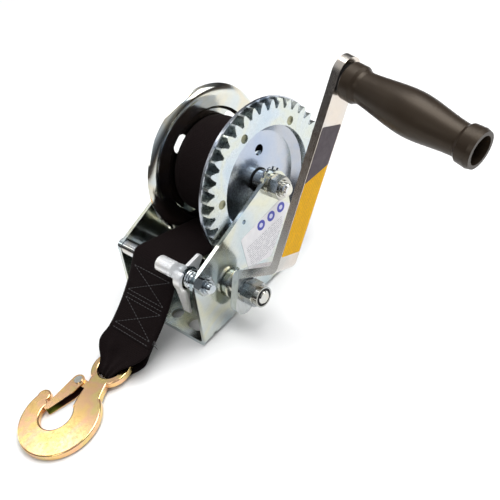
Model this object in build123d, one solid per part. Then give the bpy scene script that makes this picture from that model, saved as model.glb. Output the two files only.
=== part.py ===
from build123d import *
import os
from math import acos, asin, atan2, cos, degrees, pi, radians, sin, tan

# Hand winch for a boat trailer, in millimetres.
# X runs along the drum axis, towards the crank.  Y runs back, away from the strap's way out.
# Z is up.  The origin is the centre of the base's underside.

# ---- Frame -------------------------------------------------------------------------------
sheet = 3.0
frame_width = 84.0
base_length = 110.0
bend_radius = 6.0
half_width = frame_width / 2
inner_face = half_width - sheet
side_height = 95.0
front_corner_radius = 6.5
rear_corner_radius = 13.0
rear_corner = (49.5, 75.5)

# ---- Axes, each as (y, z) ----------------------------------------------------------------
drum_axis = (49.0, 78.5)
tie_axis = (-40.0, 54.5)
mesh_angle = 217.6

# ---- Gears -------------------------------------------------------------------------------
module = 3.0
gear_teeth = 40
pinion_teeth = 12
pressure_angle = radians(25)
backlash = 0.3
gear_phase = 4.9
centre_distance = module * (gear_teeth + pinion_teeth) / 2
pinion_axis = (
    drum_axis[0] + centre_distance * cos(radians(mesh_angle)),
    drum_axis[1] + centre_distance * sin(radians(mesh_angle)),
)

# ---- Drum --------------------------------------------------------------------------------
flange_sheet = 2.0
strap_left = -25.5
strap_right = 24.7
dish_depth = 4.5
dish_radius = 42.5
disc_radius = 64.0
flare_start = 53.5
flare_radius = 9.72
flare_angle = 57.5
left_step = 2.0
gear_face = 36.7
gear_opening = 44.0
rivet_circle = 48.5
rivet_radius = 3.4
barrel_radius = 22.0
coil_radius = 39.6
coil_half_width = 24.5
sleeve_radius = 7.0
running_fit = 0.05

# ---- Fasteners ---------------------------------------------------------------------------
drum_bolt_radius = 5.0
tie_head = 2.2
tie_bolt_radius = 4.0
tie_sleeve_radius = 6.0
shaft_radius = 7.0
shaft_thread_radius = 5.0
shaft_flat_width = 7.8

# ---- Crank -------------------------------------------------------------------------------
crank_lean = 26.0
crank_flare = 12.4
bar_thickness = 6.0
bar_width = 20.0
bar_inner_face = 49.5
bar_foot = 10.5
bar_block_top = 13.0
bar_arm_start = 29.4
arm_offset = 82.9
arm_length = 170.0
arm_overhang = 4.0
grip_length = 96.0
grip_pin_radius = 5.0

# ---- Ratchet -----------------------------------------------------------------------------
ratchet_radius = 20.2
ratchet_left = 25.3
ratchet_right = 28.7
pawl_left = 25.6
pawl_right = 28.6
tab_left = 13.5

# ---- Strap -------------------------------------------------------------------------------
strap_half_width = 24.3
strap_thickness = 2.4
strap_drop = 48.0
strap_shift = 1.0

# ---- Hook --------------------------------------------------------------------------------
hook_thickness = 5.5
hook_tilt = 2.27
hook_edge = 1.2
eye_outer = 15.8
eye_inner = 10.2
eye_bar = (-1.5, -98.0, 6.55)
bowl_centre = (0.0, -51.5)
bowl_outer = 31.5
mouth_centre = (-5.0, -50.7)
mouth_radius = 13.1
tip_centre = (-26.6, -45.4)
rivet_place = (-12.0, -21.8)
latch_sheet = 0.8
latch_gap = 0.15
latch_height = hook_thickness + 2 * (latch_gap + latch_sheet)


# ---- Small helpers -----------------------------------------------------------------------
def along_x(x_start, axis):
    """A location whose local Z runs along +X, on the (y, z) axis."""
    return Location((x_start, axis[0], axis[1])) * Rot(0, 90, 0)


def rod(radius, x_start, x_end, axis):
    """A solid cylinder parallel to X."""
    lift = (Align.CENTER, Align.CENTER, Align.MIN)
    return along_x(x_start, axis) * Cylinder(radius, x_end - x_start, align=lift)


def ring(outer, inner, x_start, x_end, axis):
    """A tube or washer parallel to X."""
    return rod(outer, x_start, x_end, axis) - rod(inner, x_start - 1, x_end + 1, axis)


def hexagon(across_flats, x_start, x_end, axis, turn=0.0):
    """A hexagonal prism parallel to X, with its corners rounded by a cone."""
    corner = across_flats / 2 / cos(radians(30))
    outline = RegularPolygon(corner, 6, rotation=turn)
    prism = along_x(x_start, axis) * extrude(outline, x_end - x_start)
    rounded = rod(corner, x_start, x_end, axis)
    rounded = chamfer(rounded.edges(), (corner - across_flats / 2) * 0.6)
    return prism & rounded


def plate_yz(outline, x_start, x_end):
    """An outline drawn in (y, z), as a plate from x_start to x_end."""
    return extrude(Plane.YZ.offset(x_start) * outline, x_end - x_start)


def blend(*circles):
    """The outline stretched round circles, each given as (y, z, radius)."""
    edges = [Pos(y, z) * Edge.make_circle(radius) for y, z, radius in circles]
    return make_hull(edges)


def turned_profile(points, axis):
    """A solid of revolution about the X-parallel axis, from (x, r) points."""
    face = make_face(Polyline(*[(x, r) for x, r in points], close=True))
    return Location((0, axis[0], axis[1])) * revolve(face, Axis.X)


def polar(radius, angle):
    """Cartesian place of an angle given in degrees."""
    return (radius * cos(radians(angle)), radius * sin(radians(angle)))


# ---- Frame -------------------------------------------------------------------------------
def frame():
    """One folded sheet: a base and two leaning side plates."""
    half = base_length / 2
    front = Pos(*tie_axis) * Edge.make_circle(front_corner_radius)
    rear = Pos(*rear_corner) * Edge.make_circle(rear_corner_radius)
    side = make_hull([Edge.make_line((-half, 0), (half, 0)), front, rear])
    body = plate_yz(side, -half_width, half_width)
    body &= fold_section()
    for axis, radius in ((drum_axis, 5.1), (tie_axis, 4.1), (pinion_axis, 9.0)):
        body -= rod(radius, -half_width - 1, half_width + 1, axis)
    body -= rod(1.8, -half_width - 1, half_width + 1, (12.6, 70.7))
    for end in (-1, 1):
        body -= base_holes(end * 43.0)
    for edge in (-1, 1):
        body -= Pos(edge * half_width, -42.8, 2.5) * Box(8, 3, 6)
    return body


def fold_section():
    """The U of the folded sheet, along the whole base."""
    low = (Align.CENTER, Align.MIN)
    outer = Rectangle(frame_width, side_height, align=low)
    outer = fillet(outer.vertices().sort_by(Axis.Y)[:2], bend_radius)
    inner = Pos(0, sheet) * Rectangle(frame_width - 2 * sheet, side_height, align=low)
    inner = fillet(inner.vertices().sort_by(Axis.Y)[:2], bend_radius - sheet)
    return extrude(Plane.XZ * (outer - inner), base_length, both=True)


def base_holes(y):
    """A row of mounting holes: one round, with a slot on each side."""
    lift = (Align.CENTER, Align.CENTER, Align.MIN)
    row = Pos(0, y, -1) * Cylinder(5.0, sheet + 2, align=lift)
    for side in (-1, 1):
        row += Pos(side * 22.0, y, -1) * extrude(SlotOverall(17, 11), sheet + 2)
    return row


# ---- Drum --------------------------------------------------------------------------------
def drum_left_flange():
    """The pressed left flange, with a step round the strap and a flared rim."""
    back = strap_left - flange_sheet
    shelf = strap_left + left_step
    flare_centre = shelf - flare_radius
    outer_radius = flare_radius - flange_sheet

    def flare_point(radius, angle):
        """A point of the flare's arc, in (x, distance from the axis)."""
        across, out = polar(radius, angle)
        return (flare_centre + across, flare_start + out)

    outer_end = flare_point(outer_radius, flare_angle)
    inner_end = flare_point(flare_radius, flare_angle)
    outline = [
        Line((back, 9.5), (back, dish_radius + 1.0)),
        Line((back, dish_radius + 1.0), (shelf - flange_sheet, dish_radius + 3.6)),
        Line((shelf - flange_sheet, dish_radius + 3.6), (shelf - flange_sheet, flare_start)),
        ThreePointArc(
            (shelf - flange_sheet, flare_start),
            flare_point(outer_radius, flare_angle / 2),
            outer_end,
        ),
        Line(outer_end, inner_end),
        ThreePointArc(inner_end, flare_point(flare_radius, flare_angle / 2), (shelf, flare_start)),
        Line((shelf, flare_start), (shelf, dish_radius + 2.4)),
        Line((shelf, dish_radius + 2.4), (strap_left, dish_radius)),
        Line((strap_left, dish_radius), (strap_left, 9.5)),
        Line((strap_left, 9.5), (back, 9.5)),
    ]
    flange = revolve(make_face(outline), Axis.X)
    for quarter in range(4):
        angle = 34 + 90 * quarter
        place = Plane.YZ.offset(back - 1) * Rot(0, 0, angle) * Pos(38.0, 0) * Rot(0, 0, 90)
        slot = place * SlotOverall(15, 9)
        flange -= extrude(slot, flange_sheet + 2)
    return Location((0, *drum_axis)) * flange


def drum_right_flange():
    """The dished right flange, which also backs the ring gear."""
    floor = strap_right + flange_sheet
    disc_back = strap_right + dish_depth
    disc_front = disc_back + flange_sheet
    flange = turned_profile(
        [
            (strap_right, 9.5),
            (strap_right, 37.0),
            (disc_back, gear_opening - 0.5),
            (disc_back, disc_radius),
            (disc_front, disc_radius),
            (disc_front, gear_opening),
            (floor, 37.6),
            (floor, 9.5),
        ],
        drum_axis,
    )
    for angle in (70.7, 250.7):
        y, z = polar(23.5, angle)
        flange -= rod(4.3, strap_right - 1, floor + 1, (drum_axis[0] + y, drum_axis[1] + z))
    for y, z in rivet_centres():
        flange -= rod(rivet_radius, disc_back - 1, disc_front + 1, (y, z))
    return flange


def rivet_centres():
    """The six rivets that hold the ring gear to the right flange."""
    places = [polar(rivet_circle, 43 + 60 * number) for number in range(6)]
    return [(drum_axis[0] + y, drum_axis[1] + z) for y, z in places]


def drum_barrel():
    """The tube that the strap is wound on."""
    return ring(barrel_radius, barrel_radius - 2.0, strap_left, strap_right, drum_axis)


def drum_bushes():
    """The two bushes that the drum turns on."""
    bore = sleeve_radius + running_fit
    left = ring(9.5, bore, strap_left - flange_sheet - 0.5, strap_left + 6, drum_axis)
    right = ring(9.5, bore, strap_right - 6, strap_right + flange_sheet + 0.5, drum_axis)
    return Compound([left, right])


def strap_coil():
    """The strap wound on the drum, as the ring that it fills."""
    middle = (strap_left + strap_right) / 2
    start = middle - coil_half_width
    return ring(coil_radius, barrel_radius, start, start + 2 * coil_half_width, drum_axis)


def tooth_flank(radius, pitch):
    """Half the tooth's angle at a radius, in radians, from the involute."""
    base = pitch * cos(pressure_angle)
    roll = acos(min(1.0, base / radius))
    half_tooth = (pi * module / 2 - backlash) / 2 / pitch
    return half_tooth + tan(pressure_angle) - pressure_angle - tan(roll) + roll


def gear_outline(teeth, phase):
    """The toothed outline of a spur gear, with its first tooth at phase degrees."""
    pitch = teeth * module / 2
    tip = pitch + module
    root = pitch - 1.25 * module
    start = max(root, pitch * cos(pressure_angle) + 0.001)
    step = 2 * pi / teeth

    def place(radius, angle):
        return (radius * cos(angle), radius * sin(angle))

    edges = []
    for number in range(teeth):
        centre = radians(phase) + number * step
        foot = tooth_flank(start, pitch)
        waist = tooth_flank((start + tip) / 2, pitch)
        crest = tooth_flank(tip, pitch)
        rise = [place(start, centre - foot), place((start + tip) / 2, centre - waist)]
        fall = [place((start + tip) / 2, centre + waist), place(start, centre + foot)]
        edges.append(ThreePointArc(*rise, place(tip, centre - crest)))
        top = [place(tip, centre - crest), place(tip, centre), place(tip, centre + crest)]
        edges.append(ThreePointArc(*top))
        edges.append(ThreePointArc(place(tip, centre + crest), *fall))
        if start > root:
            edges.append(Line(place(start, centre + foot), place(root, centre + foot)))
            edges.append(Line(place(root, centre + step - foot), place(start, centre + step - foot)))
        edges.append(
            ThreePointArc(
                place(root, centre + foot),
                place(root, centre + step / 2),
                place(root, centre + step - foot),
            )
        )
    return make_face(edges)


def ring_gear():
    """The toothed ring on the front of the right flange."""
    back = strap_right + dish_depth + flange_sheet
    blank = gear_outline(gear_teeth, gear_phase) - Circle(gear_opening)
    gear = Location((0, *drum_axis)) * plate_yz(blank, back, gear_face)
    for y, z in rivet_centres():
        gear -= rod(rivet_radius, back - 1, gear_face + 1, (y, z))
    return gear


def gear_rivets():
    """Six rivets, set a little below the gear's face."""
    back = strap_right + dish_depth
    rivets = []
    for place in rivet_centres():
        shank = rod(rivet_radius, back, gear_face - 1.2, place)
        rivets.append(shank + rod(rivet_radius + 1.6, back - 1.4, back, place))
    return Compound(rivets)


def drum_axle():
    """The long bolt, the fixed sleeve on it, and the washers and nut that clamp it."""
    spacer_left = strap_left - flange_sheet - 0.8
    spacer_right = strap_right + flange_sheet + 0.8
    bolt = rod(drum_bolt_radius, -half_width, half_width + 15, drum_axis)
    bolt = chamfer(bolt.edges().sort_by(Axis.X)[-1], 1.2)
    bolt += hexagon(16, -half_width - 6.4, -half_width, drum_axis, 12)
    nut = hexagon(16, half_width + 1.6, half_width + 9.6, drum_axis, 20)
    nut += ring(6.6, drum_bolt_radius, half_width + 9.6, half_width + 11.2, drum_axis)
    nut -= rod(drum_bolt_radius, half_width, half_width + 12, drum_axis)
    spacers = Compound(
        [
            ring(8.4, sleeve_radius, -inner_face, spacer_left, drum_axis),
            ring(8.4, sleeve_radius, spacer_right, inner_face - 1.6, drum_axis),
        ]
    )
    return {
        "drum_bolt": bolt,
        "drum_nut": nut,
        "drum_nut_washer": ring(9.2, drum_bolt_radius, half_width, half_width + 1.6, drum_axis),
        "drum_axle_sleeve": ring(sleeve_radius, drum_bolt_radius, -inner_face, inner_face - 1.6, drum_axis),
        "drum_spacers": spacers,
        "toothed_washer": toothed_washer(),
    }


def toothed_washer():
    """The lock washer with outside teeth, between the sleeve and the right plate."""
    washer = ring(11.0, drum_bolt_radius, inner_face - 1.6, inner_face, drum_axis)
    for number in range(14):
        y, z = polar(11.6, number * 360 / 14)
        tooth = Location((inner_face - 1.6, drum_axis[0] + y, drum_axis[1] + z))
        tooth *= Rot(number * 360 / 14, 0, 0)
        washer += tooth * Box(1.6, 3.0, 2.6, align=(Align.MIN, Align.CENTER, Align.CENTER))
    return washer


# ---- Drive shaft -------------------------------------------------------------------------
def drive_shaft():
    """The shaft that carries the pinion, the ratchet wheel and the crank."""
    left_end = -half_width - 5.5
    shaft = rod(shaft_radius, left_end, 47.0, pinion_axis)
    shaft = chamfer(shaft.edges().sort_by(Axis.X)[0], 1.0)
    shaft -= ring(8, shaft_radius - 0.9, left_end + 1.6, left_end + 2.8, pinion_axis)
    shaft += rod(8.6, 47.0, bar_inner_face, pinion_axis)
    end = rod(shaft_thread_radius, bar_inner_face, 73.4, pinion_axis)
    shaft += chamfer(end.edges().sort_by(Axis.X)[-1], 0.8) & crank_flats()
    return shaft


def crank_flats():
    """A slab that leaves the two flats on the shaft's end inside the crank."""
    lift = (Align.MIN, Align.CENTER, Align.CENTER)
    thread = Box(40, 20, 20, align=lift)
    flats = Box(bar_thickness, shaft_flat_width, 20, align=lift)
    turned = Location((0, *pinion_axis)) * Rot(-crank_lean, 0, 0)
    return turned * (Pos(bar_inner_face, 0, 0) * flats + Pos(bar_inner_face + bar_thickness, 0, 0) * thread)


def pinion_gear():
    """The twelve-tooth pinion that drives the ring gear."""
    left = strap_right + dish_depth + flange_sheet + 0.4
    blank = gear_outline(pinion_teeth, pinion_phase()) - Circle(shaft_radius)
    return Location((0, *pinion_axis)) * plate_yz(blank, left, inner_face - 0.4)


def pinion_phase():
    """The pinion's tooth angle that puts a gap on the nearest gear tooth."""
    step = 360 / gear_teeth
    offset = (gear_phase - mesh_angle) % step
    return mesh_angle - 180 + 180 / pinion_teeth - offset * gear_teeth / pinion_teeth


def ratchet_wheel():
    """The wheel inboard of the drum's disc, which the pawl stops."""
    blank = gear_outline(pinion_teeth, pinion_phase()) & Circle(ratchet_radius)
    blank -= Circle(shaft_radius)
    wheel = Location((0, *pinion_axis)) * plate_yz(blank, ratchet_left, ratchet_right)
    return wheel


def shaft_bushes():
    """Flanged bushes in the two side plates."""
    bore = shaft_radius + running_fit
    right = ring(9.0, bore, inner_face, half_width, pinion_axis)
    right += ring(10.5, bore, half_width, half_width + 2.6, pinion_axis)
    left = ring(9.0, bore, -half_width, -inner_face, pinion_axis)
    left += ring(10.5, bore, -half_width - 2.0, -half_width, pinion_axis)
    return Compound([left, right])


def circlip():
    """The clip in the groove at the shaft's left end."""
    groove = -half_width - 5.5 + 1.6
    clip = ring(9.2, shaft_radius - 0.9, groove, groove + 1.2, pinion_axis)
    below = (Align.CENTER, Align.CENTER, Align.MAX)
    gap = Location((groove + 0.6, *pinion_axis)) * Box(3, 3, 20, align=below)
    return clip - gap


# ---- Crank -------------------------------------------------------------------------------
def crank_place():
    """From the crank's own frame, where the arm stands up along Z, to the winch."""
    return Location((0, *pinion_axis)) * Rot(-crank_lean, 0, 0)


def grip_place():
    """The grip's frame, on the arm's outer face, with local Z along the grip."""
    lean = radians(crank_flare)
    foot = (arm_offset + arm_length * sin(lean), 0, arm_length * cos(lean))
    return crank_place() * Location(foot) * Rot(0, 90 + crank_flare, 0)


def crank_arm():
    """A flat bar, cranked outwards, with round ends."""
    lean = radians(crank_flare)
    reach = arm_length + arm_overhang
    block_x = bar_inner_face + bar_thickness / 2
    middle = arm_offset - bar_thickness / 2 / cos(lean)
    top_x = arm_offset + reach * sin(lean) - bar_thickness / 2 * cos(lean)
    top_z = reach * cos(lean) + bar_thickness / 2 * sin(lean)
    path = FilletPolyline(
        (block_x, 0, -bar_foot),
        (block_x, 0, bar_block_top),
        (middle + bar_arm_start * tan(lean), 0, bar_arm_start),
        (top_x, 0, top_z),
        radius=[4.2, 8.0],
    )
    start = Plane((block_x, 0, -bar_foot), x_dir=(1, 0, 0), z_dir=(0, 0, 1))
    section = start * Rectangle(bar_thickness, bar_width)
    bar = sweep(section, path)
    lift = (Align.CENTER, Align.CENTER, Align.MIN)
    foot = Pos(bar_inner_face, 0, -bar_foot) * Rot(0, 90, 0)
    bar += foot * Cylinder(bar_width / 2, bar_thickness, align=lift)
    bar = crank_place() * bar
    top = grip_place() * Pos(-arm_overhang, 0, -bar_thickness)
    bar += top * Cylinder(bar_width / 2, bar_thickness, align=lift)
    bar -= grip_place() * Cylinder(4.0, 30)
    hole = rod(shaft_thread_radius, bar_inner_face - 1, bar_inner_face + bar_thickness + 1, pinion_axis)
    flats = Location((bar_inner_face, *pinion_axis)) * Rot(-crank_lean, 0, 0) * Box(20, shaft_flat_width, 20)
    return bar - (hole & flats)


def crank_fasteners():
    """The washers and the locking nut that hold the crank on its shaft."""
    outer = bar_inner_face + bar_thickness
    nut = hexagon(17, outer + 2.2, outer + 12.6, pinion_axis, 8)
    nut += rod(8.0, outer + 12.6, outer + 16.8, pinion_axis)
    nut -= rod(shaft_thread_radius, outer, outer + 20, pinion_axis)
    nut -= rod(6.9, outer + 14.2, outer + 20, pinion_axis)
    insert = ring(6.9, shaft_thread_radius, outer + 14.2, outer + 16.6, pinion_axis)
    return {
        "crank_washer": ring(11.8, shaft_radius, half_width + 3.0, 47.0, pinion_axis),
        "crank_lock_washer": ring(9.9, shaft_thread_radius, outer, outer + 2.2, pinion_axis),
        "crank_nut": nut,
        "crank_nut_insert": insert,
    }


def grip_profile():
    """The grip's outer (radius, distance) points, from the arm to the open end."""
    return [
        (10.8, 1.6),
        (12.0, 2.8),
        (12.1, 9.8),
        (10.8, 11.8),
        (10.2, 14.0),
        (11.3, 24.0),
        (13.7, 43.0),
        (14.0, 51.0),
        (12.2, 67.0),
        (10.2, 82.5),
        (10.2, 84.2),
        (11.9, 86.4),
        (12.4, 93.2),
        (11.6, grip_length),
    ]


def grip():
    """The hollow turned grip, open at its far end."""
    places = [(radius, 0, height) for radius, height in grip_profile()]
    body = [
        Line(places[0], places[1]),
        Line(places[1], places[2]),
        Line(places[2], places[3]),
        Line(places[3], places[4]),
        Spline(places[4], *places[5:9], places[9]),
        Line(places[9], places[10]),
        Line(places[10], places[11]),
        Line(places[11], places[12]),
        Line(places[12], places[13]),
    ]
    bore = grip_pin_radius + 0.08
    inside = [
        (9.0, 0, grip_length),
        (9.0, 0, 62.0),
        (bore, 0, 60.0),
        (bore, 0, 1.6),
    ]
    wall = Polyline(places[13], *inside, places[0])
    return grip_place() * revolve(make_face(body + [wall]), Axis.Z)


def handle_pin():
    """The pin through the arm that the grip turns on, with its head inside the grip."""
    lift = (Align.CENTER, Align.CENTER, Align.MIN)
    pin = Pos(0, 0, -bar_thickness - 1.8) * Cylinder(6.5, 1.8, align=lift)
    pin += Pos(0, 0, -bar_thickness) * Cylinder(4.0, bar_thickness, align=lift)
    pin += Cylinder(grip_pin_radius, 62.6, align=lift)
    pin += Pos(0, 0, 62.6) * Cylinder(8.0, 4.5, align=lift)
    return grip_place() * pin


def grip_washer():
    """The thin black washer between the arm and the grip."""
    lift = (Align.CENTER, Align.CENTER, Align.MIN)
    return grip_place() * (Cylinder(9.6, 1.2, align=lift) - Cylinder(grip_pin_radius, 6))


# ---- Ratchet pawl ------------------------------------------------------------------------
def tie_rod():
    """The front bolt, its strap roller sleeve and what sits beside the pawl on it."""
    bolt = rod(tie_bolt_radius, -half_width, half_width + 12.4, tie_axis)
    bolt = chamfer(bolt.edges().sort_by(Axis.X)[-1], 1.0)
    bolt += rod(5.6, -half_width - tie_head, -half_width, tie_axis)
    nut = hexagon(13, half_width, half_width + 7.0, tie_axis, 10)
    nut += ring(5.3, tie_bolt_radius, half_width + 7.0, half_width + 8.6, tie_axis)
    nut -= rod(tie_bolt_radius, half_width - 1, half_width + 10, tie_axis)
    washers = Compound(
        [
            ring(8.6, tie_bolt_radius, 28.9, 30.1, tie_axis),
            ring(8.0, tie_bolt_radius, inner_face - 1.6, inner_face, tie_axis),
        ]
    )
    return {
        "tie_bolt": bolt,
        "tie_nut": nut,
        "strap_bar_sleeve": ring(tie_sleeve_radius, tie_bolt_radius, -inner_face, pawl_left - 0.3, tie_axis),
        "pawl_washers": washers,
        "pawl_spring": pawl_spring(),
    }


def pawl_spring():
    """The torsion spring on the tie bolt, beside the pawl."""
    wire = 1.0
    coil = Helix(pitch=2.25, height=5.0, radius=6.4)
    section = Plane(coil @ 0, z_dir=coil % 0) * Circle(wire)
    spring = sweep(section, coil, is_frenet=True)
    return along_x(31.25, tie_axis) * spring


def pawl_fold():
    """The lip folded along the pawl's front, which bows round the bolt and narrows to the tip."""
    bow = plate_yz(Circle(11.6) - Circle(9.2), pawl_left, pawl_right + 4.0)
    bow &= Pos(pawl_left + 5, -9.5, 2.4) * Box(20, 10, 13.2)
    lip = plate_yz(blend((-9.6, -4.0, 1.2), (-10.1, -25.6, 1.2)), pawl_left, pawl_right + 6.0)
    wedge = Plane.XZ * Polyline(
        (pawl_right + 6.0, -4.0),
        (pawl_right + 3.2, -27.5),
        (pawl_right + 9.0, -27.5),
        (pawl_right + 9.0, -4.0),
        close=True,
    )
    return bow + (lip - extrude(make_face(wedge), 20, both=True))


def pawl():
    """The double pawl: a nose over the ratchet wheel, a lower arm and a rolled finger tab."""
    hub = (0, 0, 7.2)
    outline = blend(hub, (*polar(16.2, 21), 2.6))
    outline += blend((-3.2, 1.0, 4.2), (-9.0, -25.0, 2.3))
    outline += blend(hub, (-7.4, 13.3, 5.6))
    body = plate_yz(outline, pawl_left, pawl_right)
    body += pawl_fold()
    tab = ring(6.0, 4.2, tab_left, pawl_left + 0.5, (-7.4, 13.3))
    opening = Location((tab_left, -7.4, 13.3)) * Rot(-125, 0, 0)
    tab -= opening * Box(60, 5.0, 12, align=(Align.CENTER, Align.CENTER, Align.MIN))
    body += tab
    body = Location((0, *tie_axis)) * body
    return body - rod(tie_bolt_radius + 0.08, pawl_left - 1, pawl_right + 1, tie_axis)


# ---- Strap -------------------------------------------------------------------------------
def strap_lead():
    """The strap from under the coil, over the tie bolt's sleeve and down towards the hook."""
    y_gap = drum_axis[0] - tie_axis[0]
    z_gap = drum_axis[1] - tie_axis[1]
    span = (y_gap**2 + z_gap**2) ** 0.5
    over = tie_sleeve_radius + 0.1 + strap_thickness / 2
    under = coil_radius + 0.4 + strap_thickness / 2
    slope = degrees(atan2(z_gap, y_gap) - asin((over + under) / span))
    start = polar(under, slope - 90)
    corner = polar(over / cos(radians((strap_drop - slope) / 2)), (slope + strap_drop) / 2 + 90)
    knee = (tie_axis[0] + corner[0], tie_axis[1] + corner[1])
    fall = knee[0] + 70.0
    route = FilletPolyline(
        (drum_axis[0] + start[0], drum_axis[1] + start[1]),
        knee,
        (-70.0, knee[1] - fall * tan(radians(strap_drop))),
        (-88.0, 19.8),
        radius=[over, 25.0],
    )
    path = Plane.YZ * route
    start_plane = Plane(path @ 0, x_dir=(1, 0, 0), z_dir=path % 0)
    section = start_plane * Rectangle(2 * strap_half_width, strap_thickness)
    lead = sweep(section, path)
    return Pos(strap_shift, 0, 0) * lead


def strap_loop():
    """The sewn loop, gathered from the strap's full width into the hook's eye."""
    x, y, z = eye_bar
    side = blend((-103.5, 7.0, 6.6), (-96.0, 8.0, 7.2), (-86.6, 19.9, 1.3))
    solid = plate_yz(side, -strap_half_width, strap_half_width)
    plan = Polyline(
        (-24.0, -80),
        (24.0, -80),
        (23.5, -90),
        (13.0, -97.5),
        (x + 3.8, -97.9),
        (x + 3.8, -112),
        (x - 3.8, -112),
        (x - 3.8, -97.9),
        (-16.0, -97.5),
        (-23.5, -90),
        close=True,
    )
    solid &= extrude(make_face(plan), 60)
    solid -= rod(4.0, -30, 30, (y, z))
    solid -= rod(5.6, -30, x - 4, (y, z))
    solid -= rod(5.6, x + 4, 30, (y, z))
    return solid - strap_lead()


# ---- Hook --------------------------------------------------------------------------------
def hook_place():
    """The hook's frame: the middle of the eye, half way through the hook's thickness."""
    return Location(eye_bar) * Rot(hook_tilt, 0, 0) * Pos(0, -(eye_outer + eye_inner) / 2, 0)


def hook():
    """The flat forged hook: eye, shank, bowl and tip."""
    left = Spline((-8.6, -11.0), (-5.6, -18.5), (-3.6, -26.0), (-0.6, -35.0), (3.0, -44.0))
    right = Spline((8.6, -11.0), (13.0, -20.5), (18.0, -29.0))
    shank = make_face([left, Line(left @ 1, right @ 1), right, Line(right @ 0, left @ 0)])
    edge = Polyline(left @ 1, (-14.5, -52.5), (-23.5, -44.0), (-50.0, -44.0), (-50.0, -11.0), left @ 0)
    throat = make_face([left, edge])
    outline = Pos(*bowl_centre) * Circle(bowl_outer) - throat
    outline += shank
    outline -= Pos(*mouth_centre) * Circle(mouth_radius)
    outline += Pos(*tip_centre) * Circle(5.4)
    outline += Circle(eye_outer)
    outline -= Circle(eye_inner)
    body = extrude(outline, hook_thickness / 2, both=True)
    rims = body.faces().filter_by(Axis.Z).edges()
    body = fillet(rims, hook_edge)
    lug = blend((*rivet_place, 3.0), (-2.0, -21.0, 3.0))
    body += extrude(lug, hook_thickness / 2, both=True)
    body -= Pos(*rivet_place) * Cylinder(2.0, 30)
    return hook_place() * body


def latch():
    """The sprung gate: a folded channel that straddles the hook."""
    heel = (-0.2, -0.6, 5.4)
    toe = (-3.0, -29.0, 2.0)
    cheek = blend(heel, (0.6, -10.0, 4.2), toe)
    inside = blend((0.7, -0.6, 5.4), (1.5, -10.0, 4.2), (toe[0] + 0.9, toe[1] + 0.2, 2.0))
    inside += Pos(7.5, -14.0) * Rectangle(14, 34)
    inside += Pos(0, 7.4) * Rectangle(20, 8)
    body = extrude(cheek, latch_height / 2, both=True)
    body -= extrude(inside, latch_height / 2 - latch_sheet, both=True)
    body -= Cylinder(2.0 + running_fit, 60)
    return hook_place() * Pos(*rivet_place) * body


def latch_rivet():
    """The rivet that the latch turns on."""
    lift = (Align.CENTER, Align.CENTER, Align.MIN)
    end = latch_height / 2 + 0.1
    rivet = Cylinder(2.0, 2 * end)
    for level in (-end - 0.8, end):
        rivet += Pos(0, 0, level) * Cylinder(3.2, 0.8, align=lift)
    return hook_place() * Pos(*rivet_place) * rivet


# ---- Labels ------------------------------------------------------------------------------
def plate_label():
    """The white sticker on the right side plate."""
    corners = [(5.0, 59.0), (4.0, 31.5), (28.0, 23.5), (60.0, 52.5), (51.5, 63.0)]
    outline = make_face(Polyline(*corners, close=True))
    outline = fillet(outline.vertices(), 1.5)
    return plate_yz(outline, half_width, half_width + 0.2)


def arm_label():
    """The long two-colour sticker on the arm's outer face."""
    strip = Rectangle(18.4, 97.0)
    strip = fillet(strip.vertices(), 1.0)
    face = grip_place() * Pos(79.8, 0, 0) * Rot(0, 0, 90)
    return face * extrude(strip, 0.2)


# ---- Write the parts ---------------------------------------------------------------------
def main():
    nodes = {
        "frame": frame(),
        "drum_left_flange": drum_left_flange(),
        "drum_right_flange": drum_right_flange(),
        "drum_barrel": drum_barrel(),
        "drum_bushes": drum_bushes(),
        "strap_coil": strap_coil(),
        "ring_gear": ring_gear(),
        "gear_rivets": gear_rivets(),
        "drive_shaft": drive_shaft(),
        "pinion_gear": pinion_gear(),
        "ratchet_wheel": ratchet_wheel(),
        "shaft_bushes": shaft_bushes(),
        "shaft_circlip": circlip(),
        "crank_arm": crank_arm(),
        "grip": grip(),
        "handle_pin": handle_pin(),
        "grip_washer": grip_washer(),
        "pawl": pawl(),
        "strap_lead": strap_lead(),
        "strap_loop": strap_loop(),
        "hook": hook(),
        "latch": latch(),
        "latch_rivet": latch_rivet(),
        "plate_label": plate_label(),
        "arm_label": arm_label(),
    }
    nodes.update(drum_axle())
    nodes.update(crank_fasteners())
    nodes.update(tie_rod())
    os.makedirs("parts", exist_ok=True)
    for name, shape in nodes.items():
        export_step(shape, f"parts/{name}.step")


main()
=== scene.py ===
from math import asin, atan2, cos, exp, hypot, pi, radians, sin

import bpy
from mathutils import Matrix, Vector


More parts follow.
